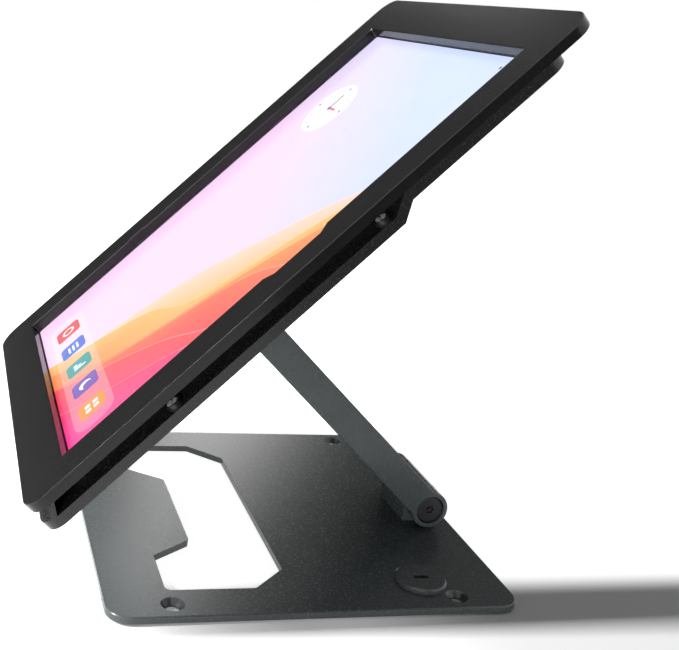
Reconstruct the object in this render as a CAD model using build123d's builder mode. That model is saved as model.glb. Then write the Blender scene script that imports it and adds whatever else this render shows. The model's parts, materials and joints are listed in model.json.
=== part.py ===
from build123d import *
import math
import os

os.makedirs("parts", exist_ok=True)

# Tablet security kiosk stand: a flat base plate on rubber feet, a leaning arm with a friction hinge
# at each end, and a two-plate head that clamps a tablet between its back cover and its bezel.
# Frame: +X is the user's right, -Y the front, +Z up. The origin is on the underside of the base
# plate, in its middle. The head is drawn on its own tilted plane: X across, Y up the screen and
# Z out of the screen, with zero on the bezel's front face and on its bottom edge.

# Cuts and fits
overrun = 2.0  # how far a cut runs past the face it opens
running_clearance = 0.05  # radial, pin in bore
thread_clearance = 0.05  # radial, screw in its tapped hole
side_play = 0.05  # on each face of a friction washer
fit_gap = 0.15  # around a piece that drops into a pocket

# Hexagon sockets of the small screws
hex_sides = 6
hex_socket_size = 2.5
hex_socket_depth = 1.3

# Rubber feet
foot_thickness = 1.0
foot_radius = 7.0
foot_inset_x = 24.0  # foot centre from the plate's side edge
foot_inset_y = 12.5  # foot centre from the plate's front or rear edge
foot_edge_radius = 0.3

# Base plate
base_width = 183.0
base_depth = 182.0
base_thickness = 3.0
base_corner_radius = 10.0
base_edge_chamfer = 0.4
mount_hole_radius = 2.75
mount_sink_radius = 5.0
mount_sink_angle = 90.0
mount_inset_x = 9.0  # desk hole from the plate's side edge
mount_inset_y = 27.5  # desk hole from the plate's front or rear edge

# Cut-out in the front half of the base plate, with a tongue that points to the rear
cutout_front_margin = 26.5  # from the plate's front edge
cutout_length = 55.2
cutout_side_margin = 19.5  # from the plate's side edge
cutout_corner_width = 15.0  # slanted rear corners, across
cutout_corner_length = 16.0  # slanted rear corners, front to back
cutout_front_radius = 3.0
cutout_rear_radius = 2.0
tongue_root_width = 88.0
tongue_tip_width = 62.0
tongue_length = 18.5
tongue_tip_radius = 2.5

# Lock point: a low round puck with a slot for a cable lock
puck_inset_x = 21.8  # puck centre from the plate's side edge
puck_inset_y = 39.6  # puck centre from the plate's rear edge
puck_radius = 11.5
puck_height = 2.2
puck_edge_chamfer = 0.7
puck_roof = 1.8
puck_spigot_radius = 9.4
puck_cavity_radius = 7.6
lock_slot_length = 7.0
lock_slot_width = 3.0
retainer_radius = 12.5
retainer_thickness = 0.7

# Hinges: a centre knuckle held between the two cheeks of the arm's fork
barrel_radius = 9.2
knuckle_width = 29.0
cheek_clearance = 1.28  # between a cheek's round end and the plate below it
bolt_radius = 4.0
bolt_head_radius = 6.6
bolt_head_height = 2.6
bolt_head_sink = 0.9  # how far the head lies below the cheek's face
head_recess_gap = 0.5
socket_size = 4.0
socket_depth = 1.6
socket_pin_radius = 0.7
bolt_edge_chamfer = 0.4
washer_rim = 0.6  # washer's edge inside the knuckle's round
washer_thickness = 0.8
hinge_inset = 15.36  # lower hinge axis from the plate's rear edge
knuckle_screw_radius = 2.0
knuckle_screw_head_radius = 3.9
knuckle_screw_spacing = 17.0
knuckle_screw_reach = 4.4  # into the knuckle's foot
knuckle_tap_extra = 0.5
knuckle_edge_chamfer = 0.4

# Arm
arm_length = 145.8  # between the hinge axes
arm_width = 47.6
arm_thickness = 14.8
arm_angle = 42.0  # above the table, leaning to the front
arm_edge_radius = 0.6
fork_root_gap = 1.4  # between the knuckle's round and the fork's root

# Head
head_tilt = 46.5  # screen above the table
head_corner_radius = 10.0
bezel_thickness = 4.5
head_hinge_height = 108.7  # upper hinge axis from the head's bottom edge, up the screen
window_side_lip = 3.75  # bezel over the tablet's long edges
window_end_lip = 4.05  # bezel over the tablet's short edges
window_side_border = 17.75  # from the window to the head's side
window_bottom_border = 20.35
window_top_border = 22.75
window_corner_radius = 1.2
window_edge_chamfer = 0.4
bezel_edge_chamfer = 0.3

# Notches in the window's long edges, for the tablet's camera and microphone
camera_notch_depth = 3.3
camera_notch_length = 33.0
camera_notch_floor = 23.0
mic_notch_depth = 1.5
mic_notch_length = 10.0
mic_notch_drop = 46.4  # below the middle of the window

# Back cover: a plate with a step, a pan that holds the tablet, and a wall across its bottom end
cover_thickness = 4.4
cover_top_drop = 16.5  # cover's end below the bezel's top edge
cover_corner_radius = 9.0
step_drop = 104.0  # start of the step on the underside, below the bezel's top edge
step_length = 7.7
step_low_bend = 16.0  # radius of the outer bend at the step's low end
step_high_bend = 12.0  # at its high end
step_inner_bend = 3.0  # in the slot
pan_floor = 2.0
pan_wall = 1.5
pan_corner_radius = 5.0
bottom_wall_inset = 4.6
bottom_wall_thickness = 2.9
bottom_wall_lean = 3.2  # its bezel end stands further up the screen than its foot
boss_radius = 3.2
boss_inset = 38.0  # screw boss from the head's side

# Bezel screws, driven from behind
bezel_screw_radius = 1.5
bezel_screw_head_radius = 3.0
bezel_screw_reach = 3.0  # into the bezel
bezel_tap_extra = 0.4
bezel_screw_low_drop = 75.0  # below the bezel's top edge
bezel_screw_high_drop = 30.0

# Clips in the side slots, each with a bright cheese-head screw sunk in its round end
clip_low_height = 66.5
clip_high_drop = 5.5  # below the start of the step
clip_screw_radius = 1.25
clip_screw_head_radius = 2.4
clip_screw_head_height = 1.5
clip_screw_head_chamfer = 0.2
clip_screw_slot_width = 0.9
clip_screw_slot_depth = 0.8
clip_screw_slot_turn = 85.0  # degrees
clip_screw_edge_margin = 4.3  # screw axis from the head's side face
clip_radius = 3.2  # round end, about the screw's axis
clip_seat = 0.9  # under the screw's head

# Mounting plate on the back of the head, with two hole patterns
vesa_plate_size = 116.0
vesa_plate_thickness = 3.0
vesa_plate_corner = 6.0
vesa_centre_rise = 0.2  # above the middle of the window
vesa_large_spacing = 100.0
vesa_small_spacing = 75.0
vesa_hole_radius = 2.3
vesa_screw_radius = 2.0
vesa_screw_head_radius = 3.8
vesa_screw_head_height = 2.2
vesa_screw_head_fillet = 0.8

# Tablet
tablet_width = 168.0
tablet_length = 245.0
tablet_thickness = 6.9
tablet_corner_radius = 6.0
pad_thickness = 0.5  # foam pads between the tablet and the pan
tablet_side_gap = 0.7  # to the pan's side walls
tablet_end_gap = 0.3  # to the pan's end walls
gasket_thickness = 0.3
gasket_margin = 0.6
glass_thickness = 0.7
shell_wall = 1.2
shell_floor = 0.9
shell_edge_radius = 1.6
panel_margin = 0.1  # display panel outside the window, on each side
panel_thickness = 1.6
camera_radius = 1.0
camera_length = 2.6
camera_inset = 2.5  # from the tablet's side
rear_camera_radius = 4.5
rear_camera_length = 3.0
rear_camera_inset_x = 30.0
rear_camera_inset_y = 18.0
battery_side_margin = 20.0
battery_bottom_margin = 52.0
battery_board_gap = 11.0
battery_play = 0.6  # between the battery and the display panel
battery_edge_radius = 1.0
board_side_margin = 11.0
board_length = 52.0
board_thickness = 0.8
board_standoff = 0.6
board_top_margin = 12.0
post_radius = 1.6
post_inset = 7.0
chip_size = 16.0
chip_thickness = 1.1
chip_spacing = 34.0
chip_count = 3
speaker_width = 26.0
speaker_length = 14.0
speaker_play = 0.7  # between a speaker and the display panel
speaker_inset_x = 22.0
speaker_inset_y = 14.0
usb_width = 9.0
usb_play = 0.25  # above and below the socket
usb_length = 7.4
usb_wall = 0.3
usb_corner_radius = 1.5
pad_size = 22.0
pad_inset_x = 26.0
pad_inset_y = 30.0

# Tablet keys, on the right-hand edge
key_height = 2.2
key_proud = 0.4
key_travel = 0.3  # key's stroke
key_travel_margin = 0.05
key_side_gap = 0.12
key_flange_thickness = 0.6
key_flange_extra = 0.8
power_key_length = 11.0
power_key_drop = 25.3  # key's middle below the tablet's top edge
volume_key_length = 22.0
volume_key_drop = 51.3
switch_length = 4.0
switch_width = 2.2

# The head's size, from the tablet that it holds
window_width = tablet_width - 2 * window_side_lip
window_length = tablet_length - 2 * window_end_lip
head_width = window_width + 2 * window_side_border
head_length = window_bottom_border + window_length + window_top_border
window_middle = window_bottom_border + window_length / 2
tablet_face = bezel_thickness + gasket_thickness  # depth of the cover glass
tablet_back = tablet_face + tablet_thickness
cavity_depth = tablet_back + pad_thickness
head_depth = cavity_depth + pan_floor  # bezel face to the underside of the back cover
cover_length = head_length - cover_top_drop
step_start = head_length - step_drop
clip_high_height = step_start - clip_high_drop
clip_thickness = clip_seat + clip_screw_head_height  # the screw's head is flush with the clip
vesa_centre_height = window_middle + vesa_centre_rise

# Places that follow from the sizes above
switch_gap = key_travel + key_travel_margin  # from the key at rest
base_top = base_thickness
washer_radius = barrel_radius - washer_rim
axis_offset = barrel_radius + cheek_clearance  # hinge axis from the plate that it stands on
low_axis_y = base_depth / 2 - hinge_inset
low_axis_z = base_top + axis_offset
arm_cos = math.cos(math.radians(arm_angle))
arm_sin = math.sin(math.radians(arm_angle))
high_axis_y = low_axis_y - arm_length * arm_cos
high_axis_z = low_axis_z + arm_length * arm_sin
tilt_cos = math.cos(math.radians(head_tilt))
tilt_sin = math.sin(math.radians(head_tilt))
vesa_depth = head_depth + vesa_plate_thickness  # bezel face to the back of the mounting plate
high_axis_depth = vesa_depth + axis_offset
head_y = high_axis_y - head_hinge_height * tilt_cos - high_axis_depth * tilt_sin
head_z = high_axis_z - head_hinge_height * tilt_sin + high_axis_depth * tilt_cos

# Planes: looking along +X at each hinge and at the head's side, and the head's own face
base_hinge_plane = Plane(origin=(0, low_axis_y, low_axis_z), x_dir=(0, 1, 0), z_dir=(1, 0, 0))
head_hinge_plane = Plane(
    origin=(0, high_axis_y, high_axis_z), x_dir=(0, -tilt_cos, -tilt_sin), z_dir=(1, 0, 0)
)
arm_plane = Plane(origin=(0, low_axis_y, low_axis_z), x_dir=(0, -arm_cos, arm_sin), z_dir=(1, 0, 0))
head_plane = Plane(origin=(0, head_y, head_z), x_dir=(1, 0, 0), z_dir=(0, -tilt_sin, tilt_cos))
head_side = Plane(origin=(0, head_y, head_z), x_dir=(0, tilt_cos, tilt_sin), z_dir=(1, 0, 0))
head_normal = Axis(head_plane.origin, head_plane.z_dir)

fork_gap = knuckle_width + 2 * (washer_thickness + 2 * side_play)
cheek_thickness = (arm_width - fork_gap) / 2
bore_radius = bolt_radius + running_clearance
recess_radius = bolt_head_radius + head_recess_gap
recess_depth = bolt_head_sink + bolt_head_height

glass_back = tablet_face + glass_thickness
shell_inside = tablet_back - shell_floor
inner_height = shell_inside - glass_back - panel_thickness
battery_thickness = inner_height - battery_play
speaker_thickness = inner_height - speaker_play
usb_height = inner_height - 2 * usb_play
cavity_width = tablet_width + 2 * tablet_side_gap
cavity_length = tablet_length + 2 * tablet_end_gap
pan_width = cavity_width + 2 * pan_wall
pan_length = cavity_length + 2 * pan_wall
tablet_bottom = window_middle - tablet_length / 2
tablet_top = window_middle + tablet_length / 2
slot_floor = head_depth - cover_thickness  # depth of the lower plate's upper face
flange_back = bezel_thickness + cover_thickness  # depth of the upper plate's underside


def face(depth):
    """The head's plane, moved into the head by depth."""
    return head_plane.offset(-depth)


def finish(piece, label):
    """Name a finished piece and write it out."""
    piece.part.label = label
    export_step(piece.part, f"parts/{label}.step")


def four(spacing_x, spacing_y, middle=0.0):
    """The corners of a rectangle that is centred on the plane's Y axis."""
    return [
        (side * spacing_x / 2, middle + end * spacing_y / 2) for side in (-1, 1) for end in (-1, 1)
    ]


# Base

foot_places = four(base_width - 2 * foot_inset_x, base_depth - 2 * foot_inset_y)
mount_places = four(base_width - 2 * mount_inset_x, base_depth - 2 * mount_inset_y)
with BuildPart() as rubber_feet:
    with BuildSketch(Plane.XY):
        with Locations(*foot_places):
            Circle(foot_radius)
    extrude(amount=-foot_thickness)
    fillet(rubber_feet.faces().sort_by(Axis.Z)[: len(foot_places)].edges(), foot_edge_radius)
finish(rubber_feet, "rubber_feet")

cut_front = -base_depth / 2 + cutout_front_margin
cut_rear = cut_front + cutout_length
cut_side = base_width / 2 - cutout_side_margin
cut_tip = cut_front + tongue_length
cutout_half = [
    (tongue_tip_width / 2, cut_tip),
    (tongue_root_width / 2, cut_front),
    (cut_side, cut_front),
    (cut_side, cut_rear - cutout_corner_length),
    (cut_side - cutout_corner_width, cut_rear),
]
cutout_outline = cutout_half + [(-x, y) for x, y in reversed(cutout_half)]
knuckle_screw_places = [
    (side * knuckle_screw_spacing / 2, low_axis_y) for side in (-1, 1)
]
puck_x = base_width / 2 - puck_inset_x
puck_y = base_depth / 2 - puck_inset_y

# The tongue and the slanted rear corners are drawn on one half and mirrored.
with BuildPart() as base_plate:
    with BuildSketch(Plane.XY):
        RectangleRounded(base_width, base_depth, base_corner_radius)
    extrude(amount=base_thickness)
    chamfer(base_plate.faces().sort_by(Axis.Z)[-1].edges(), base_edge_chamfer)
    with BuildSketch(Plane.XY) as cutout:
        with BuildLine():
            Polyline(*cutout_outline, close=True)
        make_face()
        rows = cutout.vertices().group_by(Axis.Y)
        fillet(rows[-1] + rows[-2], cutout_rear_radius)
        tips = cutout.vertices().group_by(Axis.Y)[1]
        fillet(tips, tongue_tip_radius)
        front_row = cutout.vertices().group_by(Axis.Y)[0].sort_by(Axis.X)
        fillet([front_row[0], front_row[-1]], cutout_front_radius)
    extrude(amount=base_thickness, mode=Mode.SUBTRACT)
    with Locations(Plane.XY.offset(base_top)):
        with Locations(*mount_places):
            CounterSinkHole(
                radius=mount_hole_radius,
                counter_sink_radius=mount_sink_radius,
                counter_sink_angle=mount_sink_angle,
            )
    with Locations(Plane(origin=(0, 0, 0), x_dir=(1, 0, 0), z_dir=(0, 0, -1))):
        with Locations(*[(x, -y) for x, y in knuckle_screw_places]):
            CounterSinkHole(
                radius=knuckle_screw_radius + thread_clearance,
                counter_sink_radius=knuckle_screw_head_radius + thread_clearance,
                counter_sink_angle=mount_sink_angle,
            )
    with Locations((puck_x, puck_y, base_top)):
        Hole(radius=puck_spigot_radius + running_clearance)
finish(base_plate, "base_plate")

with BuildPart() as lock_puck:
    with BuildSketch(Plane.XY.offset(base_top)):
        with Locations((puck_x, puck_y)):
            Circle(puck_radius)
    extrude(amount=puck_height)
    chamfer(lock_puck.faces().sort_by(Axis.Z)[-1].edges(), puck_edge_chamfer)
    with BuildSketch(Plane.XY.offset(-retainer_thickness)):
        with Locations((puck_x, puck_y)):
            Circle(puck_spigot_radius)
    extrude(amount=base_thickness + retainer_thickness)
    with BuildSketch(Plane.XY.offset(-retainer_thickness)):
        with Locations((puck_x, puck_y)):
            Circle(puck_cavity_radius)
    extrude(amount=retainer_thickness + base_thickness + puck_height - puck_roof, mode=Mode.SUBTRACT)
    with BuildSketch(Plane.XY.offset(base_top + puck_height)):
        with Locations((puck_x, puck_y)):
            RectangleRounded(lock_slot_width, lock_slot_length, lock_slot_width / 4)
    extrude(amount=-puck_height, mode=Mode.SUBTRACT)
finish(lock_puck, "lock_puck")

with BuildPart() as lock_retainer:
    with BuildSketch(Plane.XY.offset(-retainer_thickness)):
        with Locations((puck_x, puck_y)):
            Circle(retainer_radius)
            Circle(puck_spigot_radius + running_clearance, mode=Mode.SUBTRACT)
    extrude(amount=retainer_thickness)
finish(lock_retainer, "lock_retainer")


# Hinges


def hinge_knuckle(plane):
    """A block with a round top, bored for the hinge bolt, with two tapped holes in its foot."""
    with BuildPart() as knuckle:
        with BuildSketch(plane):
            Circle(barrel_radius)
            with Locations((0, -axis_offset / 2)):
                Rectangle(2 * barrel_radius, axis_offset)
        extrude(amount=knuckle_width / 2, both=True)
        ends = knuckle.faces().sort_by(Axis.X)
        chamfer(ends[0].edges() + ends[-1].edges(), knuckle_edge_chamfer)
        with BuildSketch(plane):
            Circle(bore_radius)
        extrude(amount=knuckle_width / 2 + overrun, both=True, mode=Mode.SUBTRACT)
        foot_middle = plane.from_local_coords((0, -axis_offset, 0))
        foot = Plane(origin=foot_middle, x_dir=(1, 0, 0), z_dir=plane.y_dir)
        with BuildSketch(foot):
            with Locations(*[(side * knuckle_screw_spacing / 2, 0) for side in (-1, 1)]):
                Circle(knuckle_screw_radius + thread_clearance)
        extrude(amount=knuckle_screw_reach + knuckle_tap_extra, mode=Mode.SUBTRACT)
    return knuckle


def knuckle_screws(plane, plate_thickness):
    """Two countersunk screws that come through the plate into the knuckle's foot."""
    sink = knuckle_screw_head_radius - knuckle_screw_radius
    with BuildPart() as screws:
        for side in (-1, 1):
            foot = Plane(
                origin=plane.from_local_coords(
                    (0, -axis_offset - plate_thickness, side * knuckle_screw_spacing / 2)
                ),
                x_dir=plane.x_dir,
                z_dir=plane.z_dir,
            )
            with BuildSketch(foot):
                with BuildLine():
                    Polyline(
                        (0, 0),
                        (knuckle_screw_head_radius, 0),
                        (knuckle_screw_radius, sink),
                        (knuckle_screw_radius, plate_thickness + knuckle_screw_reach),
                        (0, plate_thickness + knuckle_screw_reach),
                        close=True,
                    )
                make_face()
            revolve(axis=Axis(foot.origin, foot.y_dir))
            driver = Plane(origin=foot.origin, x_dir=(1, 0, 0), z_dir=foot.y_dir)
            with BuildSketch(driver):
                RegularPolygon(radius=hex_socket_size / 2, side_count=hex_sides, major_radius=False)
            extrude(amount=hex_socket_depth, mode=Mode.SUBTRACT)
    return screws


def hinge_bolt(plane):
    """The hinge pin: a shouldered bolt with its head sunk in the right-hand cheek."""
    outer = arm_width / 2
    with BuildPart() as bolt:
        with BuildSketch(plane.offset(outer - bolt_head_sink)):
            Circle(bolt_head_radius)
        extrude(amount=-bolt_head_height)
        rim = bolt.faces().sort_by(Axis.X)[-1].edges()
        chamfer(rim, bolt_edge_chamfer)
        with BuildSketch(plane.offset(outer - recess_depth)):
            Circle(bolt_radius)
        extrude(amount=-(arm_width - recess_depth - bolt_head_sink))
        with BuildSketch(plane.offset(outer - bolt_head_sink)):
            RegularPolygon(radius=socket_size / 2, side_count=hex_sides, major_radius=False)
            Circle(socket_pin_radius, mode=Mode.SUBTRACT)
        extrude(amount=-socket_depth, mode=Mode.SUBTRACT)
    return bolt


def hinge_nut(plane):
    """A round nut sunk in the left-hand cheek, with two spanner holes."""
    outer = arm_width / 2
    with BuildPart() as nut:
        with BuildSketch(plane.offset(-outer + bolt_head_sink)):
            Circle(bolt_head_radius)
            Circle(bolt_radius + thread_clearance, mode=Mode.SUBTRACT)
        extrude(amount=bolt_head_height)
        chamfer(nut.faces().sort_by(Axis.X)[0].outer_wire().edges(), bolt_edge_chamfer)
        ring = (bolt_radius + bolt_head_radius) / 2
        with BuildSketch(plane.offset(-outer + bolt_head_sink)):
            with PolarLocations(ring, 2):
                Circle(socket_pin_radius)
        extrude(amount=socket_depth, mode=Mode.SUBTRACT)
    return nut


def hinge_washers(plane):
    """Two friction washers, one on each side of the knuckle."""
    with BuildPart() as washers:
        for side in (-1, 1):
            with BuildSketch(plane.offset(side * (knuckle_width / 2 + side_play))):
                Circle(washer_radius)
                Circle(bore_radius, mode=Mode.SUBTRACT)
            extrude(amount=side * washer_thickness)
    return washers


finish(hinge_knuckle(base_hinge_plane), "base_knuckle")
finish(knuckle_screws(base_hinge_plane, base_thickness), "base_knuckle_screws")
finish(hinge_bolt(base_hinge_plane), "base_hinge_bolt")
finish(hinge_nut(base_hinge_plane), "base_hinge_nut")
finish(hinge_washers(base_hinge_plane), "base_hinge_washers")
finish(hinge_knuckle(head_hinge_plane), "head_knuckle")
finish(knuckle_screws(head_hinge_plane, vesa_plate_thickness), "head_knuckle_screws")
finish(hinge_bolt(head_hinge_plane), "head_hinge_bolt")
finish(hinge_nut(head_hinge_plane), "head_hinge_nut")
finish(hinge_washers(head_hinge_plane), "head_hinge_washers")


# Arm

fork_depth = barrel_radius + fork_root_gap
axis_places = [(0, 0), (arm_length, 0)]
with BuildPart() as arm:
    with BuildSketch(arm_plane):
        with Locations((arm_length / 2, 0)):
            Rectangle(arm_length, arm_thickness)
        with Locations(*axis_places):
            Circle(barrel_radius)
    extrude(amount=arm_width / 2, both=True)
    sides = arm.faces().sort_by(Axis.X)
    fillet(sides[0].edges() + sides[-1].edges(), arm_edge_radius)
    with BuildSketch(arm_plane):
        for place, inward in zip(axis_places, (1, -1)):
            reach = fork_depth + barrel_radius + overrun
            with Locations((place[0] + inward * (fork_depth - reach / 2), 0)):
                Rectangle(reach, 2 * (barrel_radius + overrun))
    extrude(amount=fork_gap / 2, both=True, mode=Mode.SUBTRACT)
    with BuildSketch(arm_plane):
        with Locations(*axis_places):
            Circle(bore_radius)
    extrude(amount=arm_width / 2 + overrun, both=True, mode=Mode.SUBTRACT)
    for side in (-1, 1):
        with BuildSketch(arm_plane.offset(side * arm_width / 2)):
            with Locations(*axis_places):
                Circle(recess_radius)
        extrude(amount=-side * recess_depth, mode=Mode.SUBTRACT)
finish(arm, "arm")


# Head: mounting plate

vesa_large_places = four(vesa_large_spacing, vesa_large_spacing, vesa_centre_height)
vesa_small_places = four(vesa_small_spacing, vesa_small_spacing, vesa_centre_height)
head_knuckle_places = [(side * knuckle_screw_spacing / 2, head_hinge_height) for side in (-1, 1)]

with BuildPart() as vesa_plate:
    with BuildSketch(face(head_depth)):
        with Locations((0, vesa_centre_height)):
            RectangleRounded(vesa_plate_size, vesa_plate_size, vesa_plate_corner)
        with Locations(*(vesa_large_places + vesa_small_places)):
            Circle(vesa_hole_radius, mode=Mode.SUBTRACT)
    extrude(amount=-vesa_plate_thickness)
    with Locations(face(head_depth)):
        with Locations(*head_knuckle_places):
            CounterSinkHole(
                radius=knuckle_screw_radius + thread_clearance,
                counter_sink_radius=knuckle_screw_head_radius + thread_clearance,
                depth=vesa_plate_thickness,
                counter_sink_angle=mount_sink_angle,
            )
finish(vesa_plate, "vesa_plate")

with BuildPart() as vesa_screws:
    with BuildSketch(face(vesa_depth)):
        with Locations(*vesa_large_places):
            Circle(vesa_screw_head_radius)
    extrude(amount=-vesa_screw_head_height)
    crowns = vesa_screws.faces().sort_by(head_normal)[: len(vesa_large_places)]
    fillet(crowns.edges(), vesa_screw_head_fillet)
    with BuildSketch(face(vesa_depth)):
        with Locations(*vesa_large_places):
            Circle(vesa_screw_radius)
    extrude(amount=vesa_plate_thickness + pan_floor)
    with BuildSketch(face(vesa_depth + vesa_screw_head_height)):
        with Locations(*vesa_large_places):
            RegularPolygon(radius=hex_socket_size / 2, side_count=hex_sides, major_radius=False)
    extrude(amount=hex_socket_depth, mode=Mode.SUBTRACT)
finish(vesa_screws, "vesa_screws")


# Head: back cover, clips and their screws

step_rise = slot_floor - bezel_thickness
cover_profile = [
    (0, -head_depth),
    (step_start, -head_depth),
    (step_start + step_length, -flange_back),
    (cover_length, -flange_back),
    (cover_length, -bezel_thickness),
    (step_start + step_length - step_rise / 4, -bezel_thickness),
    (step_start - step_rise / 4, -slot_floor),
    (0, -slot_floor),
]
bottom_wall = [
    (bottom_wall_inset, -slot_floor - overrun),
    (bottom_wall_inset, -slot_floor),
    (bottom_wall_inset + bottom_wall_lean, -bezel_thickness),
    (bottom_wall_inset + bottom_wall_lean + bottom_wall_thickness, -bezel_thickness),
    (bottom_wall_inset + bottom_wall_thickness, -slot_floor),
    (bottom_wall_inset + bottom_wall_thickness, -slot_floor - overrun),
]
boss_height = (bottom_wall_inset + bottom_wall_thickness + window_middle - pan_length / 2) / 2
flange_middle = (pan_width + head_width) / 4  # middle of the strip between pan and rim
boss_places = [(side * (head_width / 2 - boss_inset), boss_height) for side in (-1, 1)]
flange_places = [
    (side * flange_middle, head_length - drop)
    for side in (-1, 1)
    for drop in (bezel_screw_low_drop, bezel_screw_high_drop)
]
clip_screw_x = head_width / 2 - clip_screw_edge_margin
clip_places = [
    (side * clip_screw_x, height) for side in (-1, 1) for height in (clip_low_height, clip_high_height)
]

with BuildPart() as back_cover:
    with BuildSketch(head_side) as cover_side:
        with BuildLine():
            Polyline(*cover_profile, close=True)
        make_face()
        inner_bend, low_bend, _, high_bend = cover_side.vertices().group_by(Axis.X)[1:-1]
        fillet(inner_bend, step_inner_bend)
        fillet(low_bend, step_low_bend)
        fillet(high_bend, step_high_bend)
        with BuildLine():
            Polyline(*bottom_wall, close=True)
        make_face()
    extrude(amount=head_width / 2, both=True)
    with BuildSketch(face(head_depth + overrun)):
        with Locations((0, cover_length / 2)):
            RectangleRounded(head_width, cover_length, cover_corner_radius)
    extrude(amount=head_depth + 2 * overrun, mode=Mode.INTERSECT)
    with BuildSketch(face(head_depth)):
        with Locations((0, window_middle)):
            RectangleRounded(pan_width, pan_length, pan_corner_radius)
    extrude(amount=head_depth - bezel_thickness)
    with BuildSketch(face(cavity_depth)):
        with Locations((0, window_middle)):
            RectangleRounded(cavity_width, cavity_length, pan_corner_radius - pan_wall)
    extrude(amount=cavity_depth, mode=Mode.SUBTRACT)
    with BuildSketch(face(slot_floor)):
        with Locations(*boss_places):
            Circle(boss_radius)
    extrude(amount=slot_floor - bezel_thickness)
    with BuildSketch(face(head_depth + overrun)):
        with Locations(*vesa_large_places):
            Circle(vesa_screw_radius + thread_clearance)
    extrude(amount=pan_floor + 2 * overrun, mode=Mode.SUBTRACT)
    for depth, places in ((head_depth, boss_places), (flange_back, flange_places)):
        with Locations(Plane(origin=face(depth).origin, x_dir=(1, 0, 0), z_dir=-head_plane.z_dir)):
            with Locations(*[(x, -y) for x, y in places]):
                CounterSinkHole(
                    radius=bezel_screw_radius + thread_clearance,
                    counter_sink_radius=bezel_screw_head_radius + thread_clearance,
                    depth=depth,
                    counter_sink_angle=mount_sink_angle,
                )
    with BuildSketch(face(head_depth + overrun)):
        with Locations(*clip_places):
            Circle(clip_screw_radius + thread_clearance)
    extrude(amount=cover_thickness + 2 * overrun, mode=Mode.SUBTRACT)
finish(back_cover, "back_cover")

with BuildPart() as slot_clips:
    inner_edge = pan_width / 2
    with BuildSketch(face(slot_floor)):
        for x, height in clip_places:
            with Locations((math.copysign((inner_edge + clip_screw_x) / 2, x), height)):
                Rectangle(clip_screw_x - inner_edge, 2 * clip_radius)
            with Locations((x, height)):
                Circle(clip_radius)
    extrude(amount=clip_thickness)
    with BuildSketch(face(slot_floor - clip_seat)):
        with Locations(*clip_places):
            Circle(clip_screw_head_radius + thread_clearance)
    extrude(amount=clip_thickness, mode=Mode.SUBTRACT)
    with BuildSketch(face(slot_floor)):
        with Locations(*clip_places):
            Circle(clip_screw_radius + thread_clearance)
    extrude(amount=clip_thickness, mode=Mode.SUBTRACT)
finish(slot_clips, "slot_clips")

with BuildPart() as slot_screws:
    with BuildSketch(face(slot_floor - clip_seat)):
        with Locations(*clip_places):
            Circle(clip_screw_head_radius)
    extrude(amount=clip_screw_head_height)
    crowns = slot_screws.faces().sort_by(head_normal)[-len(clip_places):]
    chamfer(crowns.edges(), clip_screw_head_chamfer)
    with BuildSketch(face(head_depth)):
        with Locations(*clip_places):
            Circle(clip_screw_radius)
    extrude(amount=cover_thickness + clip_seat)
    with BuildSketch(face(slot_floor - clip_thickness)):
        with Locations(*clip_places):
            slot_length = 2 * (clip_screw_head_radius + overrun)
            Rectangle(clip_screw_slot_width, slot_length, rotation=clip_screw_slot_turn)
    extrude(amount=-clip_screw_slot_depth, mode=Mode.SUBTRACT)
finish(slot_screws, "slot_screws")


# Head: bezel, its screws and the gasket

notch_x = window_width / 2
camera_notch = [
    (notch_x - overrun, window_middle - camera_notch_length / 2),
    (notch_x, window_middle - camera_notch_length / 2),
    (notch_x + camera_notch_depth, window_middle - camera_notch_floor / 2),
    (notch_x + camera_notch_depth, window_middle + camera_notch_floor / 2),
    (notch_x, window_middle + camera_notch_length / 2),
    (notch_x - overrun, window_middle + camera_notch_length / 2),
]
with BuildPart() as bezel:
    with BuildSketch(face(bezel_thickness)):
        with Locations((0, head_length / 2)):
            RectangleRounded(head_width, head_length, head_corner_radius)
    extrude(amount=bezel_thickness)
    front = bezel.faces().sort_by(head_normal)[-1]
    chamfer(front.edges(), bezel_edge_chamfer)
    with BuildSketch(face(bezel_thickness)) as window:
        with Locations((0, window_middle)):
            RectangleRounded(window_width, window_length, window_corner_radius)
        with BuildLine():
            Polyline(*camera_notch, close=True)
        make_face()
        with Locations((-notch_x - mic_notch_depth / 2 + overrun / 2, window_middle - mic_notch_drop)):
            Rectangle(mic_notch_depth + overrun, mic_notch_length)
    extrude(amount=bezel_thickness, mode=Mode.SUBTRACT)
    front = bezel.faces().sort_by(head_normal)[-1]
    chamfer(front.inner_wires().edges(), window_edge_chamfer)
    with BuildSketch(face(bezel_thickness)):
        with Locations(*(boss_places + flange_places)):
            Circle(bezel_screw_radius + thread_clearance)
    extrude(amount=bezel_screw_reach + bezel_tap_extra, mode=Mode.SUBTRACT)
finish(bezel, "bezel")

with BuildPart() as bezel_screws:
    sink = bezel_screw_head_radius - bezel_screw_radius
    for depth, places in ((head_depth, boss_places), (flange_back, flange_places)):
        reach = depth - bezel_thickness + bezel_screw_reach
        for x, height in places:
            seat = Plane(
                origin=head_plane.from_local_coords((x, height, -depth)),
                x_dir=(1, 0, 0),
                z_dir=-head_side.x_dir,
            )
            with BuildSketch(seat):
                with BuildLine():
                    Polyline(
                        (0, 0),
                        (bezel_screw_head_radius, 0),
                        (bezel_screw_radius, sink),
                        (bezel_screw_radius, reach),
                        (0, reach),
                        close=True,
                    )
                make_face()
            revolve(axis=Axis(seat.origin, seat.y_dir))
            with BuildSketch(Plane(origin=seat.origin, x_dir=(1, 0, 0), z_dir=seat.y_dir)):
                RegularPolygon(bezel_screw_radius / 2, side_count=hex_sides, major_radius=False)
            extrude(amount=hex_socket_depth, mode=Mode.SUBTRACT)
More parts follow.
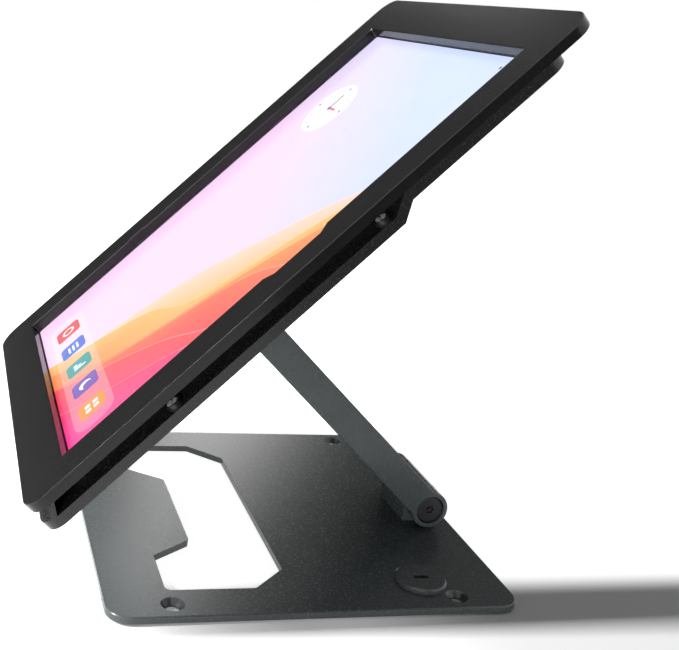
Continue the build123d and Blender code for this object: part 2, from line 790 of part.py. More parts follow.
finish(bezel_screws, "bezel_screws")

with BuildPart() as bezel_gasket:
    with BuildSketch(face(tablet_face)):
        with Locations((0, window_middle)):
            RectangleRounded(
                tablet_width - 2 * gasket_margin, tablet_length - 2 * gasket_margin, tablet_corner_radius
            )
            Rectangle(window_width + gasket_margin, window_length + gasket_margin, mode=Mode.SUBTRACT)
        with BuildLine():
            Polyline(*camera_notch, close=True)
        make_face(mode=Mode.SUBTRACT)
    extrude(amount=gasket_thickness)
finish(bezel_gasket, "bezel_gasket")


# Tablet


def tablet_outline(margin=0.0):
    """The tablet's rounded outline, drawn in by margin."""
    with Locations((0, window_middle)):
        RectangleRounded(
            tablet_width - 2 * margin, tablet_length - 2 * margin, tablet_corner_radius - margin
        )


key_depth = (glass_back + panel_thickness + tablet_back - shell_floor) / 2
keys = {
    "power_key": (power_key_length, tablet_top - power_key_drop),
    "volume_key": (volume_key_length, tablet_top - volume_key_drop),
}
usb_depth = key_depth
camera_place = (tablet_width / 2 - camera_inset, window_middle)
rear_camera_place = (-tablet_width / 2 + rear_camera_inset_x, tablet_top - rear_camera_inset_y)

with BuildPart() as tablet_shell:
    with BuildSketch(face(tablet_back)):
        tablet_outline()
    extrude(amount=tablet_back - glass_back)
    rear_face = tablet_shell.faces().sort_by(head_normal)[0]
    fillet(rear_face.edges(), shell_edge_radius)
    with BuildSketch(face(tablet_back - shell_floor)):
        tablet_outline(shell_wall)
    extrude(amount=tablet_back - shell_floor - glass_back + overrun, mode=Mode.SUBTRACT)
    with BuildSketch(Plane(origin=head_plane.from_local_coords((tablet_width / 2, 0, 0)),
                           x_dir=head_side.x_dir, z_dir=(1, 0, 0))):
        for length, height in keys.values():
            with Locations((height, -key_depth)):
                RectangleRounded(length + 2 * key_side_gap, key_height + 2 * key_side_gap, key_height / 2)
    extrude(amount=-2 * shell_wall, mode=Mode.SUBTRACT)
    with BuildSketch(Plane(origin=head_plane.from_local_coords((0, tablet_bottom, 0)),
                           x_dir=(1, 0, 0), z_dir=-head_side.x_dir)):
        with Locations((0, -usb_depth)):
            RectangleRounded(usb_width + 2 * fit_gap, usb_height + 2 * fit_gap, usb_corner_radius)
    extrude(amount=-2 * shell_wall, mode=Mode.SUBTRACT)
    with BuildSketch(face(tablet_back)):
        with Locations(rear_camera_place):
            Circle(rear_camera_radius + fit_gap)
    extrude(amount=2 * shell_floor, mode=Mode.SUBTRACT)
finish(tablet_shell, "tablet_shell")

with BuildPart() as cover_glass:
    with BuildSketch(face(glass_back)):
        tablet_outline()
    extrude(amount=glass_thickness)
finish(cover_glass, "cover_glass")

panel_width = window_width + 2 * panel_margin
panel_length = window_length + 2 * panel_margin
with BuildPart() as display_panel:
    with BuildSketch(face(glass_back + panel_thickness)):
        with Locations((0, window_middle)):
            Rectangle(panel_width, panel_length)
    extrude(amount=panel_thickness)
finish(display_panel, "display_panel")

with BuildPart() as front_camera:
    with BuildSketch(face(glass_back)):
        with Locations(camera_place):
            Circle(camera_radius)
    extrude(amount=-camera_length)
finish(front_camera, "front_camera")

with BuildPart() as rear_camera:
    with BuildSketch(face(tablet_back)):
        with Locations(rear_camera_place):
            Circle(rear_camera_radius)
    extrude(amount=rear_camera_length)
finish(rear_camera, "rear_camera")

board_middle = tablet_top - board_top_margin - board_length / 2
board_back = shell_inside - board_standoff
battery_bottom = tablet_bottom + battery_bottom_margin
battery_top = board_middle - board_length / 2 - battery_board_gap
with BuildPart() as battery:
    with BuildSketch(face(shell_inside)):
        with Locations((0, (battery_bottom + battery_top) / 2)):
            Rectangle(tablet_width - 2 * battery_side_margin, battery_top - battery_bottom)
    extrude(amount=battery_thickness)
    fillet(battery.edges().filter_by(head_normal), battery_edge_radius)
finish(battery, "battery")

board_width = tablet_width - 2 * board_side_margin
with BuildPart() as main_board:
    with BuildSketch(face(board_back)):
        with Locations((0, board_middle)):
            Rectangle(board_width, board_length)
        with Locations(rear_camera_place):
            Circle(rear_camera_radius + 2 * fit_gap, mode=Mode.SUBTRACT)
    extrude(amount=board_thickness)
    with BuildSketch(face(board_back - board_thickness)):
        with Locations((0, board_middle)):
            with GridLocations(chip_spacing, 0, chip_count, 1):
                Rectangle(chip_size, chip_size)
    extrude(amount=chip_thickness)
    with BuildSketch(face(shell_inside)):
        with Locations(*four(board_width - 2 * post_inset, board_length - 2 * post_inset, board_middle)):
            Circle(post_radius)
    extrude(amount=board_standoff)
finish(main_board, "main_board")

speaker_places = [
    (side * (tablet_width / 2 - speaker_inset_x), tablet_bottom + speaker_inset_y) for side in (-1, 1)
]
with BuildPart() as speakers:
    with BuildSketch(face(shell_inside)):
        with Locations(*speaker_places):
            Rectangle(speaker_width, speaker_length)
    extrude(amount=speaker_thickness)
finish(speakers, "speakers")

usb_mouth = Plane(
    origin=head_plane.from_local_coords((0, tablet_bottom, -usb_depth)),
    x_dir=(1, 0, 0),
    z_dir=head_side.x_dir,
)
with BuildPart() as usb_socket:
    with BuildSketch(usb_mouth):
        RectangleRounded(usb_width, usb_height, usb_corner_radius)
    extrude(amount=usb_length)
    with BuildSketch(usb_mouth):
        RectangleRounded(usb_width - 2 * usb_wall, usb_height - 2 * usb_wall, usb_corner_radius - usb_wall)
    extrude(amount=usb_length - usb_wall, mode=Mode.SUBTRACT)
    with BuildSketch(usb_mouth.offset(usb_wall)):
        Rectangle(usb_width * 2 / 3, usb_height / 4)
    extrude(amount=usb_length - usb_wall)
finish(usb_socket, "usb_socket")

key_side = Plane(
    origin=head_plane.from_local_coords((tablet_width / 2, 0, -key_depth)),
    x_dir=head_side.x_dir,
    z_dir=(1, 0, 0),
)
key_root = key_side.offset(-shell_wall - key_side_gap)
for key_name, (key_length, key_middle) in keys.items():
    with BuildPart() as key:
        with BuildSketch(key_side.offset(key_proud)):
            with Locations((key_middle, 0)):
                RectangleRounded(key_length, key_height, key_height / 2 - key_side_gap)
        extrude(amount=-(key_proud + shell_wall + key_side_gap))
        with BuildSketch(key_root):
            with Locations((key_middle, 0)):
                Rectangle(key_length + 2 * key_flange_extra, key_height)
        extrude(amount=-key_flange_thickness)
    finish(key, key_name)

with BuildPart() as key_switches:
    with BuildSketch(key_root.offset(-key_flange_thickness - switch_gap)):
        for _, key_middle in keys.values():
            with Locations((key_middle, -(shell_inside - key_depth - key_height / 2) / 2)):
                Rectangle(switch_length, shell_inside - key_depth + key_height / 2)
    extrude(amount=-switch_width)
finish(key_switches, "key_switches")

with BuildPart() as tablet_pads:
    with BuildSketch(face(cavity_depth)):
        pad_spacing_x = tablet_width - 2 * pad_inset_x
        pad_spacing_y = tablet_length - 2 * pad_inset_y
        with Locations(*four(pad_spacing_x, pad_spacing_y, window_middle)):
            Rectangle(pad_size, pad_size)
    extrude(amount=pad_thickness)
finish(tablet_pads, "tablet_pads")
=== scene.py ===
import json
import math

import bmesh
import bpy
from mathutils import Matrix, Vector


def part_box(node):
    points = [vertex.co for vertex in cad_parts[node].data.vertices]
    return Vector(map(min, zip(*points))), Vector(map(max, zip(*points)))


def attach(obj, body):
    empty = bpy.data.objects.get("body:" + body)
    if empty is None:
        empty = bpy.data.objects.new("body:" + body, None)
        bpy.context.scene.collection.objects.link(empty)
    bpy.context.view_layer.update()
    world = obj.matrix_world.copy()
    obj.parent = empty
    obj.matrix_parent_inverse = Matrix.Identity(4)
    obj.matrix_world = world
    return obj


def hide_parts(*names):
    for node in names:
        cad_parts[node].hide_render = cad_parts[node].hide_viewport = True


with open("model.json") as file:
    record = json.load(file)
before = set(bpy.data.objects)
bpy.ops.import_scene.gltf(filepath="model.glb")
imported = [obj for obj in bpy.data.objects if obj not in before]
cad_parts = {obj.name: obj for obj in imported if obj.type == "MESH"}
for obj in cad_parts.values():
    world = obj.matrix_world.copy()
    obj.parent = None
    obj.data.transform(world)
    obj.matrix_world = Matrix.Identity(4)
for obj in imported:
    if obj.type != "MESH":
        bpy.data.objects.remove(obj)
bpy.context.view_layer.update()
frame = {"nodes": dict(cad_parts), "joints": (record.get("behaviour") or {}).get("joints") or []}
nodes = frame["nodes"]

# Sizes in metres, in the CAD frame: +X the user's right, -Y the front, +Z up.
MM = 0.001
FLOOR_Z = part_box("rubber_feet")[0].z
WHITE = (1.0, 1.0, 1.0, 1.0)

# The head's own frame: X across, T up the screen, N out of it, zero on the bezel's bottom edge.
HEAD_TILT = math.radians(46.5)
HINGE_UP = 108.7 * MM
HINGE_DEEP = 27.68 * MM
TABLET_FACE = 4.8 * MM
GLASS_THICKNESS = 0.7 * MM
PANEL_THICKNESS = 1.6 * MM
SCREEN_WIDTH = 160.7 * MM
SCREEN_LENGTH = 237.1 * MM
SCREEN_MIDDLE = 138.8 * MM
UP = Vector((0, math.cos(HEAD_TILT), math.sin(HEAD_TILT)))
OUT = Vector((0, -math.sin(HEAD_TILT), math.cos(HEAD_TILT)))
HEAD_AXIS = Vector(next(j["pos_m"] for j in frame["joints"] if j["name"] == "head_tilt"))
HEAD_ORIGIN = HEAD_AXIS - HINGE_UP * UP + HINGE_DEEP * OUT


def on_head(x, t, n):
    """A point of the head's own frame, in the CAD frame."""
    return HEAD_ORIGIN + Vector((x, 0, 0)) + t * UP + n * OUT


def mm(*lengths):
    """Lengths in millimetres, in metres."""
    return [length * MM for length in lengths]


def add_object(name, data):
    made = bpy.data.objects.new(name, data)
    bpy.context.scene.collection.objects.link(made)
    return made


def add_mesh(name, mesh, material):
    """An object of one material from a bmesh, which is used up."""
    data = bpy.data.meshes.new(name)
    mesh.to_mesh(data)
    mesh.free()
    data.materials.append(material)
    return add_object(name, data)


# Camera: the photograph's view, from a fit of the object's edges
IMAGE_WIDTH = 679
IMAGE_HEIGHT = 650
SENSOR = 36.0
FOCAL_PX = 1067.93
CENTRE_PX = (233.8, 248.6)
CAMERA_PLACE = Vector((458.85, -164.21, 238.64)) * MM
CAMERA_RIGHT = Vector((0.24579759, 0.96148715, 0.12298784))
CAMERA_DOWN = Vector((0.24148904, 0.06213861, -0.96841202))
NEAREST_SEEN = 0.01


def make_camera():
    data = bpy.data.cameras.new("camera")
    data.sensor_width = SENSOR
    data.lens = FOCAL_PX / IMAGE_WIDTH * SENSOR
    data.shift_x = (IMAGE_WIDTH / 2 - CENTRE_PX[0]) / IMAGE_WIDTH
    data.shift_y = (CENTRE_PX[1] - IMAGE_HEIGHT / 2) / IMAGE_WIDTH
    data.clip_start = NEAREST_SEEN
    camera = add_object("camera", data)
    back = CAMERA_RIGHT.cross(-CAMERA_DOWN)
    turn = Matrix((CAMERA_RIGHT, -CAMERA_DOWN, back)).transposed()
    camera.matrix_world = Matrix.Translation(CAMERA_PLACE) @ turn.to_4x4()
    bpy.context.scene.camera = camera


make_camera()
bpy.context.scene.view_settings.view_transform = "Standard"


# Materials: a small set of calls that build a node tree


def linear(red, green, blue):
    """A colour as it looks on a screen, 0 to 255, in the linear values that shaders use."""
    out = []
    for value in (red, green, blue):
        share = value / 255
        out.append(share / 12.92 if share <= 0.04045 else ((share + 0.055) / 1.055) ** 2.4)
    return (*out, 1.0)


def tint(colour, factor, lift=0.0):
    """A lighter or darker tone of a linear colour."""
    return tuple(min(1.0, value * factor + lift) for value in colour[:3]) + (1.0,)


class Graph:
    """The node tree of a material or a world, with short calls for the nodes in it."""

    BEVEL_SAMPLES = 8
    NOISE_LOW = 0.3  # most of a noise's values lie between these two
    NOISE_HIGH = 0.7

    def __init__(self, owner, output="ShaderNodeOutputMaterial"):
        owner.use_nodes = True
        self.owner = owner
        self.tree = owner.node_tree
        self.tree.nodes.clear()
        self.output = self.tree.nodes.new(output)

    def put(self, socket, value):
        """Link a socket to another one, or set its value. None leaves it as it is."""
        if isinstance(value, bpy.types.NodeSocket):
            self.tree.links.new(value, socket)
        elif value is not None:
            socket.default_value = value

    def put_named(self, made, **values):
        for key, value in values.items():
            self.put(made.inputs[key.replace("_", " ")], value)

    def node(self, kind, *inputs, **settings):
        made = self.tree.nodes.new(kind)
        for key, value in settings.items():
            setattr(made, key, value)
        for index, value in enumerate(inputs):
            self.put(made.inputs[index], value)
        return made

    def math(self, operation, a, b=None, c=None):
        return self.node("ShaderNodeMath", a, b, c, operation=operation).outputs[0]

    def mix(self, share, a, b):
        made = self.node("ShaderNodeMix", share, data_type="RGBA")
        self.put(made.inputs[6], a)
        self.put(made.inputs[7], b)
        return made.outputs[2]

    def place(self):
        return self.node("ShaderNodeTexCoord").outputs["Object"]

    def noise(self, scale, detail=2.0, roughness=0.5):
        """Noise with scale cells to a metre."""
        made = self.tree.nodes.new("ShaderNodeTexNoise")
        self.put_named(
            made, Vector=self.place(), Scale=scale, Detail=detail, Roughness=roughness
        )
        return made.outputs[0]

    def span(self, value, low, high, to_low=0.0, to_high=1.0, smooth=False):
        """Map low to to_low and high to to_high, and hold the ends."""
        kind = "SMOOTHSTEP" if smooth else "LINEAR"
        ends = (low, high, to_low, to_high)
        return self.node("ShaderNodeMapRange", value, *ends, interpolation_type=kind).outputs[0]

    def spread(self, noise, to_low=0.0, to_high=1.0):
        return self.span(noise, self.NOISE_LOW, self.NOISE_HIGH, to_low, to_high)

    def ramp(self, value, *stops):
        made = self.node("ShaderNodeValToRGB", value)
        elements = made.color_ramp.elements
        while len(elements) < len(stops):
            elements.new(0.5)
        for element, (position, colour) in zip(elements, stops):
            element.position = position
            element.color = colour
        return made.outputs[0]

    def bump(self, height, distance, strength, normal=None):
        made = self.tree.nodes.new("ShaderNodeBump")
        self.put_named(made, Strength=strength, Distance=distance, Height=height, Normal=normal)
        return made.outputs[0]

    def bevel(self, radius):
        made = self.node("ShaderNodeBevel", samples=self.BEVEL_SAMPLES)
        self.put_named(made, Radius=radius)
        return made.outputs[0]

    def edge(self, radius):
        """1 on edges and corners, falling to 0 within radius of them."""
        faces = self.bevel(radius), self.node("ShaderNodeNewGeometry").outputs["Normal"]
        same = self.node("ShaderNodeVectorMath", *faces, operation="DOT_PRODUCT")
        return self.span(same.outputs["Value"], 0.999, 0.9)

    def seen(self):
        """1 where the camera, a reflection or clear glass looks, 0 for light."""
        rays = self.node("ShaderNodeLightPath").outputs
        straight = self.math("MAXIMUM", rays["Is Camera Ray"], rays["Is Transmission Ray"])
        return self.math("MAXIMUM", rays["Is Glossy Ray"], straight)

    def shade(self, **values):
        """The surface shader, with its sockets given by name."""
        shader = self.tree.nodes.new("ShaderNodeBsdfPrincipled")
        self.put_named(shader, **values)
        self.tree.links.new(shader.outputs[0], self.output.inputs[0])
        return self.owner


def material_graph(name):
    return Graph(bpy.data.materials.new(name))


def powder_coat(name, colour, grain, roughness, gloss, rounding):
    """Baked powder paint: fine orange peel, a slight mottle and lighter paint on the edges."""
    g = material_graph(name)
    mottle = g.spread(g.noise(38.0, 3.0))
    speck = g.span(g.noise(2600.0, 1.0), 0.35, 0.7)
    tone = g.math("MULTIPLY_ADD", speck, 0.35, g.math("MULTIPLY", mottle, 0.65))
    paint = g.mix(tone, tint(colour, 0.9), tint(colour, 1.1))
    wear = g.span(g.noise(420.0, 4.0), 0.35, 0.65, 0.4, 0.7)
    worn = g.math("MULTIPLY", g.edge(0.45 * MM), wear)
    peel = g.noise(520.0, 1.0)
    return g.shade(
        Base_Color=g.mix(worn, paint, tint(colour, 1.25, lift=0.002)),
        Roughness=g.spread(g.noise(900.0), roughness - 0.03, roughness + 0.03),
        Specular_IOR_Level=gloss,
        Normal=g.bump(peel, grain, 0.5, g.bevel(rounding)),
    )


def turned_metal(name, colour, roughness, mark_scale, metallic=1.0):
    """Turned or ground metal with fine tool marks, and edges painted lighter, partly as handling
    wear and partly as a painted highlight.
    """
    g = material_graph(name)
    marks = g.noise(mark_scale, 3.0, 0.7)
    stain = g.span(g.noise(160.0, 3.0), 0.35, 0.7)
    face = g.mix(stain, tint(colour, 0.72), colour)
    # Edges painted lighter: partly handling wear, partly a painted highlight
    edge_wear_and_highlight = g.math("MULTIPLY", g.edge(0.25 * MM), 0.8)
    return g.shade(
        Base_Color=g.mix(edge_wear_and_highlight, face, tint(colour, 1.5, lift=0.03)),
        Metallic=metallic,
        Roughness=g.spread(marks, roughness - 0.06, roughness + 0.1),
        Normal=g.bump(marks, 0.02 * MM, 0.5, g.bevel(0.15 * MM)),
    )


def moulded(name, colour, pebble_scale, roughness, grain=0.03 * MM):
    """Moulded rubber, foam or plastic: a pebbled skin with dusty high spots."""
    g = material_graph(name)
    pebble = g.noise(pebble_scale, 3.0, 0.6)
    dust = g.span(g.noise(90.0, 4.0, 0.6), 0.45, 0.8)
    dusty = tint(colour, 1.5, lift=0.015)
    return g.shade(
        Base_Color=g.mix(g.math("MULTIPLY", dust, 0.6), colour, dusty),
        Roughness=g.spread(pebble, roughness - 0.06, roughness + 0.06),
        Normal=g.bump(pebble, grain, 0.6, g.bevel(0.3 * MM)),
    )


def blasted_aluminium(name):
    """Bead-blasted, anodised aluminium."""
    g = material_graph(name)
    grain = g.noise(3200.0)
    tone = g.spread(g.noise(45.0))
    return g.shade(
        Base_Color=g.mix(tone, linear(150, 151, 154), linear(164, 165, 168)),
        Metallic=1.0,
        Roughness=g.spread(grain, 0.36, 0.5),
        Normal=g.bump(grain, 0.015 * MM, 0.5, g.bevel(0.2 * MM)),
    )


def cover_glass_material():
    """Clear chemically hardened glass with a faint smear."""
    g = material_graph("cover_glass")
    smear = g.noise(22.0, 3.0, 0.6)
    return g.shade(
        Base_Color=g.mix(g.span(smear, 0.4, 0.7), WHITE, (0.985, 0.99, 0.995, 1.0)),
        Roughness=g.span(smear, 0.45, 0.75, 0.0, 0.02),
        Transmission_Weight=1.0,
        IOR=1.05,
    )


def lens_material(name):
    """A small camera lens: dark glass with a violet coating."""
    g = material_graph(name)
    facing = g.node("ShaderNodeLayerWeight", 0.4).outputs["Facing"]
    ring = g.noise(900.0, 1.0)
    violet = g.math("MULTIPLY_ADD", ring, 0.2, facing)
    return g.shade(
        Base_Color=g.mix(violet, linear(8, 8, 14), linear(40, 32, 70)),
        Roughness=g.spread(ring, 0.04, 0.1),
        Coat_Weight=1.0,
    )


def circuit_board_material():
    """Green solder mask with raised tracks and gold pads."""
    g = material_graph("circuit_board")
    cells = g.node("ShaderNodeTexVoronoi", g.place(), None, 260.0, distance="MANHATTAN")
    tracks = g.span(cells.outputs["Distance"], 0.32, 0.36)
    pads = g.span(g.noise(700.0, 1.0), 0.66, 0.68)
    mask = g.mix(tracks, linear(18, 62, 34), linear(26, 84, 48))
    return g.shade(
        Base_Color=g.mix(pads, mask, linear(176, 146, 72)),
        Roughness=g.span(tracks, 0.0, 1.0, 0.4, 0.28),
        Normal=g.bump(tracks, 0.04 * MM, 0.6),
    )


def battery_material():
    """Crinkled black film round a flat cell."""
    g = material_graph("battery_wrap")
    crinkle = g.noise(140.0, 5.0, 0.65)
    return g.shade(
        Base_Color=g.mix(crinkle, linear(26, 27, 30), linear(48, 50, 55)),
        Roughness=g.spread(crinkle, 0.3, 0.5),
        Normal=g.bump(crinkle, 0.2 * MM, 0.6, g.bevel(0.4 * MM)),
    )


# Screen picture: a sky from pink to pale blue, wavy bands, a clock and a few plain tiles


class Picture(Graph):
    """A lit picture, in metres across (x) and up (y) from the middle of its bottom edge."""

    SOFT = 0.12 * MM

    def __init__(self, name):
        super().__init__(bpy.data.materials.new(name))
        uv = self.node("ShaderNodeUVMap", uv_map="screen").outputs[0]
        self.x, self.y = self.node("ShaderNodeSeparateXYZ", uv).outputs[:2]
        self.colour = None

    def cover(self, inside, colour, strength=1.0):
        """Lay a colour over what is drawn so far, where inside is 1."""
        share = inside if strength == 1.0 else self.math("MULTIPLY", inside, strength)
        self.colour = self.mix(share, self.colour, colour)

    def fill(self, distance, colour, strength=1.0):
        """Lay a colour inside an outline that is given by its signed distance."""
        self.cover(self.span(distance, self.SOFT, -self.SOFT), colour, strength)

    def tile(self, x, y, half_width, half_height, corner):
        """The signed distance to a rounded rectangle."""
        squares = []
        for axis, middle, half in ((self.x, x, half_width), (self.y, y, half_height)):
            away = self.math("ABSOLUTE", self.math("SUBTRACT", axis, middle))
            past = self.math("MAXIMUM", self.math("SUBTRACT", away, half - corner), 0.0)
            squares.append(self.math("MULTIPLY", past, past))
        return self.math("SUBTRACT", self.math("SQRT", self.math("ADD", *squares)), corner)

    def disc(self, x, y, radius):
        """The signed distance to a disc."""
        return self.tile(x, y, radius, radius, radius)

    def below_wave(self, height, rise, bends):
        """How far a point is below a wavy line."""
        line = self.math("MULTIPLY_ADD", self.x, rise, height)
        for size, wavelength, shift in bends:
            angle = self.math("MULTIPLY_ADD", self.x, 2 * math.pi / wavelength, shift)
            line = self.math("MULTIPLY_ADD", self.math("SINE", angle), size, line)
        return self.math("SUBTRACT", line, self.y)


# Each band: its line's height and rise, (size, wavelength, shift) of the line's two sines, the
# colour at its crest and the colour BAND_DEPTH below that
BANDS = (
    (0.050, 1.72, ((0.012, 0.110, 0.4), (0.003, 0.052, 1.0)), (255, 214, 196), (251, 192, 108)),
    (0.034, 1.66, ((0.012, 0.100, 2.1), (0.003, 0.045, 0.2)), (253, 190, 104), (253, 142, 66)),
    (0.018, 1.60, ((0.012, 0.120, 3.6), (0.003, 0.056, 2.4)), (254, 146, 72), (255, 100, 62)),
    (0.002, 1.54, ((0.011, 0.110, 5.0), (0.003, 0.048, 0.9)), (255, 112, 68), (255, 66, 82)),
    (-0.014, 1.45, ((0.010, 0.130, 0.9), (0.003, 0.060, 3.0)), (255, 74, 80), (255, 48, 122)),
    (-0.030, 1.32, ((0.009, 0.115, 2.9), (0.003, 0.055, 1.2)), (255, 52, 112), (255, 54, 150)),
)
BAND_DEPTH = 0.045
RIM_COLOUR = linear(255, 240, 214)
SCREEN_GLOW = 1.04

# The tiles and the clock, in millimetres on the screen
DOCK_Y = 16
TILE_COLOURS = {
    -48: linear(226, 60, 66),
    -24: linear(66, 110, 214),
    0: linear(40, 160, 158),
    24: linear(112, 72, 178),
    48: linear(246, 150, 52),
}
CLOCK_X = -42
CLOCK_Y = 186
HOUR_RADIUS = 14
HAND_COLOUR = linear(70, 66, 104)


def draw_sky(p):
    share = p.math("MULTIPLY_ADD", p.x, 0.9 / SCREEN_LENGTH, p.math("DIVIDE", p.y, SCREEN_LENGTH))
    p.colour = p.ramp(
        share,
        (0.0, linear(254, 216, 249)),
        (0.4, linear(251, 214, 248)),
        (0.65, linear(230, 218, 252)),
        (1.0, linear(208, 222, 253)),
    )


def draw_bands(p):
    """Wavy bands, each with a pale rim along its crest."""
    for height, rise, bends, crest, trough in BANDS:
        below = p.below_wave(height, rise, bends)
        inside = p.span(below, -0.3 * MM, 0.3 * MM)
        depth = p.span(below, 0.0, BAND_DEPTH)
        p.cover(inside, p.ramp(depth, (0.0, linear(*crest)), (1.0, linear(*trough))))
        rim = p.math("MULTIPLY", inside, p.span(below, 1.4 * MM, 0.2 * MM))
        p.cover(rim, RIM_COLOUR, strength=0.3)


def draw_dock(p):
    """A pale bar with five tiles: a ring, lines, steps, a crescent and four squares."""
    p.fill(p.tile(*mm(0, DOCK_Y, 64, 10.5, 8)), WHITE, strength=0.16)
    for x, colour in TILE_COLOURS.items():
        p.fill(p.tile(*mm(x, DOCK_Y, 7, 7, 2.4)), colour)
    ring, lines, steps, crescent, squares = TILE_COLOURS
    outline = p.math("ABSOLUTE", p.disc(*mm(ring, DOCK_Y, 3)))
    p.fill(p.math("SUBTRACT", outline, 0.6 * MM), WHITE)
    for level in (-1, 0, 1):
        p.fill(p.tile(*mm(lines, DOCK_Y + level * 2.4, 3.4, 0.6, 0.5)), WHITE)
    for column in (-1, 0, 1):
        rise = (column + 2) * 1.1
        p.fill(p.tile(*mm(steps + column * 2.2, DOCK_Y - 3 + rise, 0.7, rise, 0.4)), WHITE)
    p.fill(p.disc(*mm(crescent, DOCK_Y, 3.4)), WHITE)
    p.fill(p.disc(*mm(crescent + 1.6, DOCK_Y + 1.2, 2.8)), TILE_COLOURS[crescent])
    for side in (-2.1, 2.1):
        for end in (-2.1, 2.1):
            p.fill(p.tile(*mm(squares + side, DOCK_Y + end, 1.4, 1.4, 0.5)), WHITE)


def draw_clock(p):
    """A clock with dots for the hours and two hands."""
    p.fill(p.disc(*mm(CLOCK_X, CLOCK_Y, 17)), WHITE, strength=0.82)
    for hour in range(12):
        angle = math.tau * hour / 12
        x = CLOCK_X + HOUR_RADIUS * math.sin(angle)
        y = CLOCK_Y + HOUR_RADIUS * math.cos(angle)
        p.fill(p.disc(*mm(x, y, 0.9 if hour % 3 == 0 else 0.5)), linear(96, 92, 128))
    p.fill(p.tile(*mm(CLOCK_X, CLOCK_Y + 4.5, 0.6, 5.5, 0.5)), HAND_COLOUR)
    p.fill(p.tile(*mm(CLOCK_X + 3.4, CLOCK_Y, 4.4, 0.7, 0.5)), linear(240, 88, 110))
    p.fill(p.disc(*mm(CLOCK_X, CLOCK_Y, 1.4)), HAND_COLOUR)


def draw_frame(p):
    """Three dots in the top corner and the panel's dark rim."""
    for x in (66, 69.4, 72.8):
        p.fill(p.disc(*mm(x, 230, 0.9)), linear(110, 112, 140))
    rim = 0.7 * MM
    half_width, half_length = SCREEN_WIDTH / 2, SCREEN_LENGTH / 2
    outside = p.tile(0.0, half_length, half_width - rim, half_length - rim, 1.0 * MM)
    p.cover(p.span(outside, 0.0, 0.1 * MM), linear(4, 4, 6))


def screen_material():
    p = Picture("screen_picture")
    for draw in (draw_sky, draw_bands, draw_dock, draw_clock, draw_frame):
        draw(p)
    return p.shade(
        Base_Color=linear(6, 6, 8),
        Roughness=p.spread(p.noise(60.0), 0.3, 0.36),
        Emission_Color=p.colour,
        Emission_Strength=SCREEN_GLOW,
    )


# Pieces made here


def slab_outline(width, length, corner, steps=8):
    """The points round a rectangle with rounded corners, about its middle."""
    outline = []
    for turn, (side, end) in enumerate(((1, -1), (1, 1), (-1, 1), (-1, -1))):
        for step in range(steps + 1):
            angle = math.radians(90 * (turn - 1) + 90 * step / steps)
            x = side * (width / 2 - corner) + corner * math.cos(angle)
            t = end * (length / 2 - corner) + corner * math.sin(angle)
            outline.append((x, t))
    return outline


def rounded_slab(name, width, length, corner, top, bottom, edge, material):
    """A thin slab on the head, rounded at corners and edges, its face mapped in metres."""
    outline = slab_outline(width, length, corner)
    mesh = bmesh.new()
    rings = []
    for inset, n in ((edge, top), (0.0, top - edge), (0.0, bottom + edge), (edge, bottom)):
        scale_x = (width / 2 - inset) / (width / 2)
        scale_t = (length / 2 - inset) / (length / 2)
        points = [on_head(x * scale_x, SCREEN_MIDDLE + t * scale_t, n) for x, t in outline]
        rings.append([mesh.verts.new(point) for point in points])
    count = len(outline)
    for upper, lower in zip(rings, rings[1:]):
        for i in range(count):
            after = (i + 1) % count
            mesh.faces.new((upper[i], lower[i], lower[after], upper[after]))
    mesh.faces.new(rings[0])
    mesh.faces.new(list(reversed(rings[-1])))
    bmesh.ops.recalc_face_normals(mesh, faces=mesh.faces)
    uv = mesh.loops.layers.uv.new("screen")
    screen_foot = on_head(0, SCREEN_MIDDLE - SCREEN_LENGTH / 2, 0)
    for face in mesh.faces:
        for loop in face.loops:
            away = loop.vert.co - screen_foot
            loop[uv].uv = (away.x, away.dot(UP))
    return add_mesh(name, mesh, material)


AIR = 0.03 * MM
glass_back = -TABLET_FACE - GLASS_THICKNESS
screen = rounded_slab(
    "lit_display",
    SCREEN_WIDTH,
    SCREEN_LENGTH,
    corner=1.5 * MM,
    top=glass_back - AIR,
    bottom=glass_back - PANEL_THICKNESS,
    edge=0.1 * MM,
    material=screen_material(),
)
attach(screen, "head")
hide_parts("display_panel")


# Materials on the CAD nodes
base_paint = powder_coat(
    "base_powder_coat", linear(76, 82, 83),
    grain=0.0016 * MM, roughness=0.26, gloss=0.5, rounding=0.3 * MM,
)
head_paint = powder_coat(
    "head_powder_coat", linear(27, 27, 27),
    grain=0.001 * MM, roughness=0.17, gloss=0.36, rounding=0.05 * MM,
)
cover_paint = powder_coat(
    "cover_powder_coat", linear(36, 36, 36),
    grain=0.003 * MM, roughness=0.26, gloss=0.5, rounding=0.05 * MM,
)
black_screw = turned_metal("black_oxide_screw", linear(58, 58, 62), 0.42, 900.0, metallic=0.3)
bright_screw = turned_metal("bright_screw", linear(255, 255, 255), 0.35, 1200.0, metallic=0.0)
plain_steel = turned_metal("plain_steel", linear(176, 176, 178), 0.36, 1000.0)
bronze = turned_metal("washer_bronze", linear(178, 128, 82), 0.38, 1000.0)
rubber = moulded("foot_rubber", linear(30, 30, 31), 1800.0, 0.78)
foam = moulded("black_foam", linear(24, 24, 26), 900.0, 0.92, grain=0.12 * MM)
plastic = moulded("black_plastic", linear(38, 38, 40), 1500.0, 0.5)
aluminium = blasted_aluminium("anodised_aluminium")
lens = lens_material("lens")
